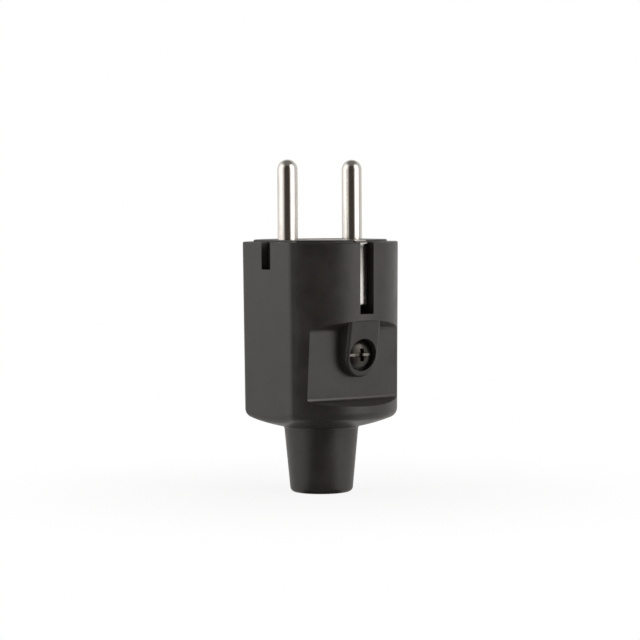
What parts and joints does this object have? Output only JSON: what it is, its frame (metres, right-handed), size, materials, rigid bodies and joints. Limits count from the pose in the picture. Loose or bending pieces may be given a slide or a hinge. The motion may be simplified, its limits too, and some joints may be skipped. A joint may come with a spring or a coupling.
{
  "type": "earthed mains plug",
  "caption": "Round-bodied earthed mains plug with round pins, side earth contacts, finger pockets, a housing screw and a tapered cable neck.",
  "frame": {"origin": "centre of the cable neck's end, where the plug stands with its pins up", "axes": "+Z along the cable axis towards the pins; +X from pin to pin; -Y towards the housing screw"},
  "size_m": [0.0318, 0.0368, 0.0794],
  "materials": {
    "housing_plastic": "fine matte grain",
    "carrier_plastic": "satin",
    "nickel": "bright nickel plate",
    "screw_steel": "zinc plated"
  },
  "bodies": {
    "root": {"housing": "housing_plastic", "contact_carrier": "carrier_plastic", "pin_bridge": "carrier_plastic", "cable_clamp": "carrier_plastic", "line_pin": "nickel", "neutral_pin": "nickel", "earth_post": "nickel", "earth_strip": "nickel", "housing_screw": "screw_steel", "housing_nut": "screw_steel", "line_terminal_screw": "screw_steel", "neutral_terminal_screw": "screw_steel", "earth_terminal_screw": "screw_steel", "bridge_screw_1": "screw_steel", "bridge_screw_2": "screw_steel", "clamp_screw_1": "screw_steel", "clamp_screw_2": "screw_steel"}
  },
  "joints": []
}
